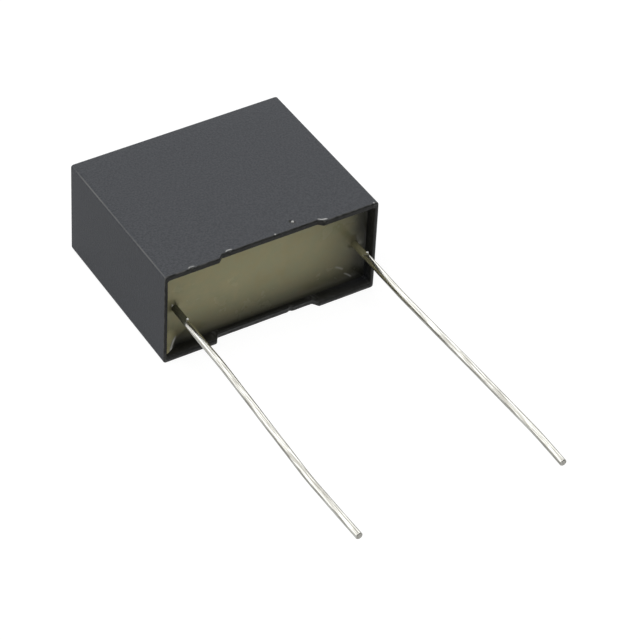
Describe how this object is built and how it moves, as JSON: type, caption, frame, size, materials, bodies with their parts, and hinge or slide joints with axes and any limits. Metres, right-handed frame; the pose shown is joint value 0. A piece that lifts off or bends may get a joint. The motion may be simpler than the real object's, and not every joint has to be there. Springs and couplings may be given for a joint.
{
  "type": "box film capacitor",
  "caption": "Boxed film capacitor: drafted moulded case with standoffs, resin-filled open side and long tinned leads that leave the resin and spread a little.",
  "frame": {"origin": "midway between the two leads, in the plane of the case's standoffs, at half the case's thickness", "axes": "-Y along the leads, away from the case; +Y into the case towards its closed end; +X across the case from the left lead to the right lead; +Z through the thickness, up as the part lies on its broad side"},
  "size_m": [0.0264, 0.0602, 0.0122],
  "materials": {
    "case_plastic": "fine matt moulded texture",
    "casting_resin": "cast, glossy",
    "metallised_film": "smooth metallised film",
    "plain_film": "smooth film",
    "sprayed_metal": "rough sprayed metal",
    "solder": "solidified solder",
    "tinned_wire": "bright tinned"
  },
  "bodies": {
    "root": {"case": "case_plastic", "potting_resin": "casting_resin", "film_winding": "metallised_film", "film_wrap": "plain_film", "end_spray_left": "sprayed_metal", "end_spray_right": "sprayed_metal", "solder_left": "solder", "solder_right": "solder", "lead_left": "tinned_wire", "lead_right": "tinned_wire"}
  },
  "joints": []
}
